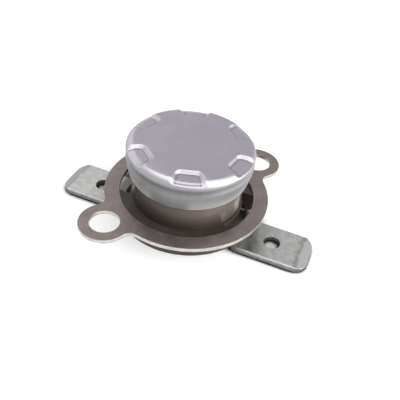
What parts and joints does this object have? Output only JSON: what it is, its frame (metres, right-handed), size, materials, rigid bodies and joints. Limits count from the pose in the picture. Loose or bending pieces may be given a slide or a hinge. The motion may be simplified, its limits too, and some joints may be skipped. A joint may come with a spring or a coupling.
{
  "type": "bimetal thermostat",
  "caption": "Snap-disc temperature switch: notched aluminium cap crimped on a phenolic base, loose eared mounting ring, flat push-on blade terminals on opposite sides.",
  "frame": {"origin": "on the cap's axis, at the height of the blades' undersides", "axes": "+Z towards the sensing face, +X along the right blade"},
  "size_m": [0.0348, 0.0266, 0.0125],
  "materials": {
    "phenolic": "dark brown moulded phenolic, glossy",
    "ring_steel": "rolled sheet, satin, brownish grey",
    "cap_aluminium": "drawn sheet, satin",
    "bimetal": "rolled strip",
    "guide_phenolic": "moulded phenolic",
    "pin_ceramic": "fired, unglazed",
    "spring_bronze": "rolled spring bronze",
    "contact_silver": "silver, satin",
    "bracket_brass": "folded brass sheet",
    "tinned_brass": "stamped brass, tin plated, satin",
    "rivet_brass": "brass, nickel plated"
  },
  "bodies": {
    "housing": {"base": "phenolic", "cap": "cap_aluminium", "bimetal_disc": "bimetal", "pin_guide": "guide_phenolic", "contact_bracket": "bracket_brass", "fixed_contact": "contact_silver", "terminal_left": "tinned_brass", "terminal_right": "tinned_brass", "rivet_left": "rivet_brass", "rivet_right": "rivet_brass"},
    "ring": {"mounting_ring": "ring_steel"},
    "pin": {"push_pin": "pin_ceramic"},
    "arm": {"spring_arm": "spring_bronze", "moving_contact": "contact_silver"}
  },
  "joints": [
    {"name": "ring_turn", "type": "hinge", "parent": "housing", "child": "ring", "pos_m": [0, 0, 0.00467], "axis": [0, 0, 1], "continuous": true},
    {"name": "pin_push", "type": "slide", "parent": "housing", "child": "pin", "axis": [0, 0, -1], "range_m": [0, 0.0003], "stiffness_N_per_m": 500, "deforming": ["bimetal_disc"]},
    {"name": "contact_swing", "type": "hinge", "parent": "housing", "child": "arm", "pos_m": [-0.0024, 0, 0.0066], "axis": [0, 1, 0], "range_deg": [0, 7.2], "deforming": ["spring_arm"]}
  ],
  "couplings": [
    {"joint": "contact_swing", "follows": "pin_push", "rad_per_m": 416.67}
  ]
}
